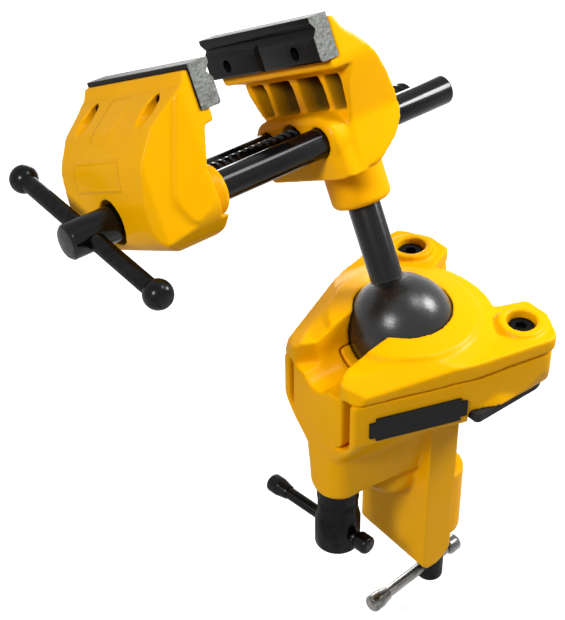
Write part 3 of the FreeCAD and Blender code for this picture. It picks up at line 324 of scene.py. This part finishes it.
def noise(tree, place, scale, detail=3.0, rough=0.5, stretch=None):
    """Noise of a number of cells per metre, stretched by an optional (x, y, z) scale."""
    if stretch:
        mapping = tree.nodes.new("ShaderNodeMapping")
        mapping.inputs["Scale"].default_value = stretch
        tree.links.new(place, mapping.inputs["Vector"])
        place = mapping.outputs["Vector"]
    node = tree.nodes.new("ShaderNodeTexNoise")
    node.inputs["Scale"].default_value = scale
    node.inputs["Detail"].default_value = detail
    node.inputs["Roughness"].default_value = rough
    tree.links.new(place, node.inputs["Vector"])
    return node.outputs["Fac"]


def spread(tree, value, limits, onto):
    """Value between two limits, carried over onto two others and held there."""
    node = tree.nodes.new("ShaderNodeMapRange")
    node.inputs["From Min"].default_value, node.inputs["From Max"].default_value = limits
    node.inputs["To Min"].default_value, node.inputs["To Max"].default_value = onto
    tree.links.new(value, node.inputs["Value"])
    return node.outputs["Result"]


def calculate(tree, operation, first, second):
    """Math node whose inputs are sockets or numbers."""
    node = tree.nodes.new("ShaderNodeMath")
    node.operation = operation
    for socket, value in zip(node.inputs, (first, second)):
        if isinstance(value, (int, float)):
            socket.default_value = value
        else:
            tree.links.new(value, socket)
    return node.outputs[0]


def blend_colours(tree, factor, first, second):
    """Mix of two colours, each a tuple or a socket."""
    node = tree.nodes.new("ShaderNodeMix")
    node.data_type = "RGBA"
    tree.links.new(factor, node.inputs["Factor"])
    for name, colour in (("A", first), ("B", second)):
        target = [s for s in node.inputs if s.name == name and s.type == "RGBA"][0]
        if isinstance(colour, tuple):
            target.default_value = (*colour, 1.0)
        else:
            tree.links.new(colour, target)
    return [s for s in node.outputs if s.type == "RGBA"][0]


def add_bump(tree, shader, height, distance, under=None):
    """Bump of a height in metres, on top of an earlier bump if there is one."""
    node = tree.nodes.new("ShaderNodeBump")
    node.inputs["Distance"].default_value = distance
    tree.links.new(height, node.inputs["Height"])
    if under:
        tree.links.new(under, node.inputs["Normal"])
    tree.links.new(node.outputs["Normal"], shader.inputs["Normal"])
    tree.links.new(node.outputs["Normal"], shader.inputs["Coat Normal"])
    return node.outputs["Normal"]


def vary_gloss(tree, shader, value, gloss):
    """Coat weight around a middle value, duller and shinier with a noise."""
    weights = [gloss * part for part in GLOSS_VARIES]
    tree.links.new(spread(tree, value, NOISE_WIDE, weights), shader.inputs["Coat Weight"])


def measure_along(tree, place, direction, origin):
    """Distance of the shaded point from an origin along a direction."""
    node = tree.nodes.new("ShaderNodeVectorMath")
    node.operation = "DOT_PRODUCT"
    node.inputs[1].default_value = direction
    tree.links.new(place, node.inputs[0])
    return calculate(tree, "SUBTRACT", node.outputs["Value"], origin.dot(direction))


def across_jaw(tree, place):
    """Distance to the side of the jaws' middle."""
    return measure_along(tree, place, JAW_ACROSS, BALL_AT)


def above_spindle(tree, place):
    """Height above the spindle's axis, along the jaws."""
    return measure_along(tree, place, JAW_UP, BALL_AT + JAW_UP * SPINDLE_HEIGHT)


def band(tree, value, limits):
    """1 between two limits and 0 outside, with a soft edge."""
    low, high = limits
    rise = spread(tree, value, (low - SOFT_EDGE, low + SOFT_EDGE), (0.0, 1.0))
    fall = spread(tree, value, (high - SOFT_EDGE, high + SOFT_EDGE), (1.0, 0.0))
    return calculate(tree, "MULTIPLY", rise, fall)


def patch(tree, across, up, width, height):
    """1 inside a rectangle on the jaw and 0 outside, with a soft edge."""
    return calculate(tree, "MULTIPLY", band(tree, across, width), band(tree, up, height))


# ---- finishes --------------------------------------------------------------
def yellow_paint(name="yellow_gloss_paint"):
    """Gloss paint on a casting, a little cloudy and speckled, with orange peel."""
    mat, tree, shader, place = new_finish(name, 0.27, PAINT_GLOSS)
    cloud = noise(tree, place, 42.0)
    colour = blend_colours(tree, cloud, YELLOW_DEEP, YELLOW_LIGHT)
    speck = spread(tree, noise(tree, place, 900.0, 2.0), (0.70, 0.78), (0.0, 0.25))
    colour = blend_colours(tree, speck, colour, YELLOW_SPECK)
    tree.links.new(colour, shader.inputs["Base Color"])
    sheen = noise(tree, place, 70.0)
    tree.links.new(spread(tree, sheen, NOISE_WIDE, (0.22, 0.34)), shader.inputs["Roughness"])
    vary_gloss(tree, shader, sheen, PAINT_GLOSS)
    peel = add_bump(tree, shader, noise(tree, place, 380.0, 2.0), PEEL_HEIGHT)
    return mat, tree, shader, place, peel


def front_jaw_paint():
    """Yellow paint with the faint raised step and the blank panel on the jaw's front."""
    mat, tree, shader, place, peel = yellow_paint("yellow_paint_front_jaw")
    across = across_jaw(tree, place)
    up = above_spindle(tree, place)
    step = patch(tree, across, up, STEP_X, STEP_Z)
    outer = patch(tree, across, up, PANEL_X, PANEL_Z)
    inner = patch(tree, across, up, (PANEL_X[0] + PANEL_RIM, PANEL_X[1] - PANEL_RIM),
                  (PANEL_Z[0] + PANEL_RIM, PANEL_Z[1] - PANEL_RIM))
    rim = calculate(tree, "SUBTRACT", outer, inner)
    add_bump(tree, shader, calculate(tree, "ADD", rim, step), RELIEF, peel)
    return mat


def rear_jaw_paint_and_shade():
    """Yellow paint with painted shade inside the jaw's openings, a dark brown-black that deepens
    further in.
    """
    mat, tree, shader, place = yellow_paint("yellow_paint_rear_jaw_pocket_shade")[:4]
    across = across_jaw(tree, place)
    up = above_spindle(tree, place)
    back = measure_along(tree, place, ALONG_SPINDLE, ALONG_SPINDLE * REAR_PLATE_BACK)
    bottom, top = POCKET_HEIGHT
    narrowing = spread(tree, up, POCKET_HEIGHT, (POCKET_SLANT * (top - bottom), 0.0))
    reach = calculate(tree, "ADD", calculate(tree, "ABSOLUTE", across, 0.0), narrowing)
    opening = patch(tree, reach, up, (-1.0, POCKET_HALF), POCKET_HEIGHT)
    # painted shade: the paint turns dark brown-black deeper in the openings
    front = POCKET_DEPTH[0]
    depth_shade = calculate(tree, "MULTIPLY", band(tree, back, POCKET_DEPTH),
                     spread(tree, back, (front, front * 3), (0.35, 0.9)))
    painted_pocket_shade = calculate(tree, "MULTIPLY", opening, depth_shade)
    colour = shader.inputs["Base Color"].links[0].from_socket
    shade_colour = blend_colours(tree, noise(tree, place, 300.0, 4.0), POCKET_SHADE_DARK, POCKET_SHADE_LIGHT)
    tree.links.new(blend_colours(tree, painted_pocket_shade, colour, shade_colour), shader.inputs["Base Color"])
    return mat


def black_oxide(name, roughness, gloss=STEEL_GLOSS, grain=320.0, streak=None):
    """Blackened steel with cloudy tone and small scuffs."""
    mat, tree, shader, place = new_finish(name, roughness, gloss)
    cloud = noise(tree, place, 150.0, 4.0, 0.6)
    colour = blend_colours(tree, cloud, OXIDE_DARK, OXIDE_LIGHT)
    scuff = spread(tree, noise(tree, place, 1100.0, 4.0, 0.7), (0.68, 0.80), (0.0, 0.4))
    colour = blend_colours(tree, scuff, colour, OXIDE_SCUFF)
    tree.links.new(colour, shader.inputs["Base Color"])
    grains = noise(tree, place, grain, 4.0, 0.6, streak)
    tree.links.new(spread(tree, grains, NOISE_WIDE, (roughness - 0.05, roughness + 0.09)),
                   shader.inputs["Roughness"])
    vary_gloss(tree, shader, grains, gloss)
    add_bump(tree, shader, noise(tree, place, 2400.0, 2.0), GRAIN_HEIGHT)
    return mat


def blasted_ball():
    """Black ball with the fine mottle of a blasted forging, and a duller stem."""
    mat, tree, shader, place = new_finish("black_ball_steel", 0.27, BALL_GLOSS, specular=0.10)
    mottle = noise(tree, place, 520.0, 6.0, 0.75)
    pits = spread(tree, mottle, NOISE_CLOSE, (0.0, 1.0))
    tree.links.new(blend_colours(tree, pits, BALL_DARK, BALL_LIGHT), shader.inputs["Base Color"])
    tree.links.new(spread(tree, mottle, NOISE_CLOSE, (0.40, 0.20)), shader.inputs["Roughness"])
    height = measure_along(tree, place, JAW_UP, BALL_AT)
    tree.links.new(spread(tree, height, (STEM_FROM, STEM_FROM + 0.001),
                          (BALL_GLOSS, STEEL_GLOSS)), shader.inputs["Coat Weight"])
    add_bump(tree, shader, mottle, MOTTLE_HEIGHT)
    return mat


def ground_steel():
    """Blackened jaw plate whose ends and top are ground bright and scratched."""
    mat, tree, shader, place = new_finish("jaw_plate_steel", 0.30, STEEL_GLOSS)
    cloud = noise(tree, place, 260.0, 4.0, 0.65)
    black = blend_colours(tree, cloud, PLATE_DARK, PLATE_LIGHT)
    speck = spread(tree, noise(tree, place, 1500.0, 2.0), (0.72, 0.76), (0.0, 0.6))
    black = blend_colours(tree, speck, black, PLATE_SPECK)
    scratch = noise(tree, place, 1500.0, 4.0, 0.7, SCRATCHES)
    cross = noise(tree, place, 1900.0, 3.0, 0.7, CROSS_SCRATCHES)
    marks = calculate(tree, "MULTIPLY", scratch, cross)
    bright = blend_colours(tree, spread(tree, marks, NOISE_CROSSED, (0.0, 1.0)),
                           GROUND_DARK, GROUND_LIGHT)
    sideways = calculate(tree, "ABSOLUTE", across_jaw(tree, place), 0.0)
    ends = spread(tree, sideways, (PLATE_HALF - EDGE_WEAR, PLATE_HALF - EDGE_WEAR / 3),
                  (0.0, 1.0))
    up = measure_along(tree, place, JAW_UP, BALL_AT)
    top = spread(tree, up, (PLATE_TOP - EDGE_WEAR, PLATE_TOP - EDGE_WEAR / 3), (0.0, 0.75))
    ground = calculate(tree, "MAXIMUM", ends, top)
    tree.links.new(blend_colours(tree, ground, black, bright), shader.inputs["Base Color"])
    tree.links.new(spread(tree, marks, NOISE_CROSSED, (0.40, 0.24)), shader.inputs["Roughness"])
    add_bump(tree, shader, marks, SCRATCH_HEIGHT)
    return mat


def worn_bright_steel():
    """Dark plated bar, rubbed bright in streaks along it."""
    mat, tree, shader, place = new_finish("worn_bar_steel", 0.24, 0.0, specular=0.5)
    rub = noise(tree, place, 240.0, 4.0, 0.7, ALONG_BAR)
    bright = spread(tree, rub, NOISE_CLOSE, (0.0, 1.0))
    colour = blend_colours(tree, bright, WORN_DARK, WORN_LIGHT)
    tree.links.new(colour, shader.inputs["Base Color"])
    shader.inputs["Metallic"].default_value = 0.8
    tree.links.new(spread(tree, rub, NOISE_CLOSE, (0.30, 0.15)), shader.inputs["Roughness"])
    add_bump(tree, shader, noise(tree, place, 1600.0), RUB_HEIGHT)
    return mat


def plain_finish(name, colours, roughness, gloss, grain, bump):
    """Two close colours in a fine noise, for the small pieces."""
    mat, tree, shader, place = new_finish(name, roughness, gloss)
    cloud = noise(tree, place, grain, 4.0, 0.6)
    tree.links.new(blend_colours(tree, cloud, *colours), shader.inputs["Base Color"])
    add_bump(tree, shader, noise(tree, place, grain * 4.0), bump)
    return mat


# ---- mesh helpers ----------------------------------------------------------
def pick(obj):
    """Selects one object alone."""
    bpy.ops.object.select_all(action="DESELECT")
    obj.select_set(True)
    bpy.context.view_layer.objects.active = obj


def own_copy(node):
    """Copy of a node's mesh with its doubles merged."""
    source = frame["nodes"][node]
    obj = source.copy()
    obj.data = source.data.copy()
    for key in [k for k in obj.keys() if k.startswith("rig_")]:
        del obj[key]
    obj.parent = None
    obj.name = node + "_dressed"
    bpy.context.scene.collection.objects.link(obj)
    pick(obj)
    bpy.ops.object.mode_set(mode="EDIT")
    bpy.ops.mesh.select_all(action="SELECT")
    bpy.ops.mesh.remove_doubles(threshold=NODE_MERGE)
    bpy.ops.object.mode_set(mode="OBJECT")
    return obj


def stand_in(obj, node, material):
    """Makes a piece stand for a node, on the node's body."""
    obj.data.materials.clear()
    obj.data.materials.append(material)
    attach(obj, frame["nodes"][node]["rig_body"])
    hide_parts(node)


def apply_modifier(obj, kind, **settings):
    """Adds a modifier and applies it at once."""
    pick(obj)
    modifier = obj.modifiers.new(kind.lower(), kind)
    for key, value in settings.items():
        setattr(modifier, key, value)
    bpy.ops.object.modifier_apply(modifier=modifier.name)


def soft_casting(node, material):
    """Cast copy of a node, its edges rounded by remeshing and smoothing."""
    voxel, rounds = CASTINGS[node]
    obj = own_copy(node)
    apply_modifier(obj, "REMESH", mode="VOXEL", voxel_size=voxel)
    apply_modifier(obj, "SMOOTH", factor=SMOOTHING, iterations=rounds)
    pick(obj)
    bpy.ops.object.shade_smooth()
    stand_in(obj, node, material)


def broken_edges(obj, width, segments=2):
    """Bevels the sharp edges and keeps the faces between them flat."""
    pick(obj)
    bpy.ops.object.shade_smooth_by_angle(angle=SMOOTH_BELOW)
    apply_modifier(obj, "BEVEL", width=width, segments=segments, limit_method="ANGLE",
                   angle_limit=BREAK_ABOVE, use_clamp_overlap=True, harden_normals=True)


def machined(node, width, material, segments=2):
    """Copy of a turned or ground node with its sharp edges broken."""
    obj = own_copy(node)
    broken_edges(obj, width, segments)
    stand_in(obj, node, material)


def threaded_rod(name, origin, direction, radius, depth, pitch, turns):
    """Screw thread along a direction: one tooth's side turned and lifted, ends filled."""
    flat = pitch / 8
    profile = ((0.0, 0.0), (flat, 0.0), (pitch / 2 - flat, depth), (pitch / 2 + flat, depth),
               (pitch - flat, 0.0), (pitch, 0.0))
    verts = [(radius - sink, 0.0, rise) for rise, sink in profile]
    mesh = bpy.data.meshes.new(name)
    mesh.from_pydata(verts, [(k, k + 1) for k in range(len(verts) - 1)], [])
    obj = bpy.data.objects.new(name, mesh)
    bpy.context.scene.collection.objects.link(obj)
    apply_modifier(obj, "SCREW", axis="Z", angle=2 * math.pi, screw_offset=pitch,
                   iterations=turns, steps=THREAD_STEPS, render_steps=THREAD_STEPS,
                   use_merge_vertices=True, merge_threshold=THREAD_MERGE, use_smooth_shade=True)
    bpy.ops.object.mode_set(mode="EDIT")
    bpy.ops.mesh.select_all(action="SELECT")
    bpy.ops.mesh.remove_doubles(threshold=THREAD_MERGE)
    bpy.ops.mesh.select_all(action="DESELECT")
    bpy.ops.mesh.select_non_manifold()
    bpy.ops.mesh.fill()
    bpy.ops.mesh.select_all(action="SELECT")
    bpy.ops.mesh.normals_make_consistent(inside=False)
    bpy.ops.object.mode_set(mode="OBJECT")
    turn = direction.to_track_quat("Z", "Y").to_matrix().to_4x4()
    obj.data.transform(Matrix.Translation(origin) @ turn)
    bpy.ops.object.shade_smooth_by_angle(angle=SMOOTH_BELOW)
    return obj


def cut_off(obj, point, outward):
    """Removes what lies beyond a plane and closes the cut."""
    pick(obj)
    bpy.ops.object.mode_set(mode="EDIT")
    bpy.ops.mesh.select_all(action="SELECT")
    bpy.ops.mesh.bisect(plane_co=point, plane_no=outward, clear_outer=True, use_fill=True)
    bpy.ops.object.mode_set(mode="OBJECT")


def joined(first, second):
    """Two objects as one, under the first one's name."""
    pick(first)
    second.select_set(True)
    bpy.ops.object.join()
    return first


# ---- pieces ----------------------------------------------------------------
def dress_castings():
    """Painted castings; each jaw has a paint of its own."""
    paint = yellow_paint()[0]
    soft_casting("base_body", paint)
    soft_casting("socket_cap", paint)
    soft_casting("rear_jaw", rear_jaw_paint_and_shade())
    soft_casting("front_jaw", front_jaw_paint())


def dress_spindle(steel):
    """Hub of the jaw screw as it is, and a threaded shaft behind its collar."""
    axis = BALL_AT + JAW_UP * SPINDLE_HEIGHT
    start = axis + ALONG_SPINDLE * SPINDLE_THREAD_FROM
    hub = own_copy("spindle")
    cut_off(hub, start, ALONG_SPINDLE)
    broken_edges(hub, STEEL_EDGE)
    thread = threaded_rod("spindle_thread", start, ALONG_SPINDLE, SPINDLE_R,
                          SPINDLE_THREAD_DEPTH, SPINDLE_PITCH, SPINDLE_THREAD_TURNS)
    stand_in(joined(hub, thread), "spindle", steel)


def dress_clamp_screw(steel):
    """Plain head of the table screw, the threaded shaft above it and the foot's pivot."""
    start = STRAIGHT_UP * CLAMP_HEAD_TOP
    end = start + STRAIGHT_UP * CLAMP_PITCH * CLAMP_THREAD_TURNS
    head = own_copy("clamp_screw")
    cut_off(head, start, STRAIGHT_UP)
    pivot = own_copy("clamp_screw")
    cut_off(pivot, end, -STRAIGHT_UP)
    joined(head, pivot)
    broken_edges(head, STEEL_EDGE)
    thread = threaded_rod("clamp_thread", start, STRAIGHT_UP, CLAMP_R, CLAMP_THREAD_DEPTH,
                          CLAMP_PITCH, CLAMP_THREAD_TURNS)
    stand_in(joined(head, thread), "clamp_screw", steel)


def dress_hardware():
    """Ball, rods, bars, screws and the hidden brass and pins."""
    steel = black_oxide("black_oxide_steel", roughness=0.20)
    rod_steel = black_oxide("drawn_rod_steel", roughness=0.15, gloss=ROD_GLOSS, grain=260.0,
                            streak=ALONG_ROD)
    bar_steel = black_oxide("handle_bar_steel", roughness=0.20, gloss=BAR_GLOSS)
    bright = worn_bright_steel()
    machined("ball_stud", STEEL_EDGE, blasted_ball())
    for node in ("guide_rod_left", "guide_rod_right"):
        machined(node, STEEL_EDGE, rod_steel)
    for node in ("spindle_bar", "spindle_bar_ball", "lock_bar", "lock_bar_knob"):
        machined(node, STEEL_EDGE, bar_steel)
    for node in ("clamp_bar", "clamp_bar_knob"):
        machined(node, STEEL_EDGE, bright)
    for node in ("lock_screw", "lock_collar", "clamp_foot"):
        machined(node, STEEL_EDGE, steel)
    for node in ("cap_bolts", "front_plate_screws", "rear_plate_screws"):
        machined(node, SCREW_EDGE, steel)
    dress_spindle(rod_steel)
    dress_clamp_screw(steel)
    brass = plain_finish("turned_brass", BRASS, roughness=0.35, gloss=0.6, grain=300.0,
                         bump=0.00001)
    for node in ("ball_seat", "spindle_nut"):
        machined(node, SCREW_EDGE, brass)
    for node in ("stem_pin", "rod_pins", "collar_pin", "thrust_washer", "spindle_collar"):
        machined(node, PIN_EDGE, steel)


def dress_plates_and_pad():
    """Jaw plates, the rubber pad and the blank badge."""
    jaw_steel = ground_steel()
    for node in ("front_jaw_plate", "rear_jaw_plate"):
        machined(node, PLATE_EDGE, jaw_steel, segments=3)
    rubber = plain_finish("pad_rubber", RUBBER, roughness=0.55, gloss=0.3, grain=260.0,
                          bump=0.00004)
    machined("table_pad", PAD_EDGE, rubber)
    plate = plain_finish("badge_black", BADGE_BLACK, roughness=0.4, gloss=0.25, grain=420.0,
                         bump=0.00001)
    machined("badge_plate", SCREW_EDGE, plate)


def main():
    add_camera()
    light_room()
    add_floor()
    dress_castings()
    dress_hardware()
    dress_plates_and_pad()


main()
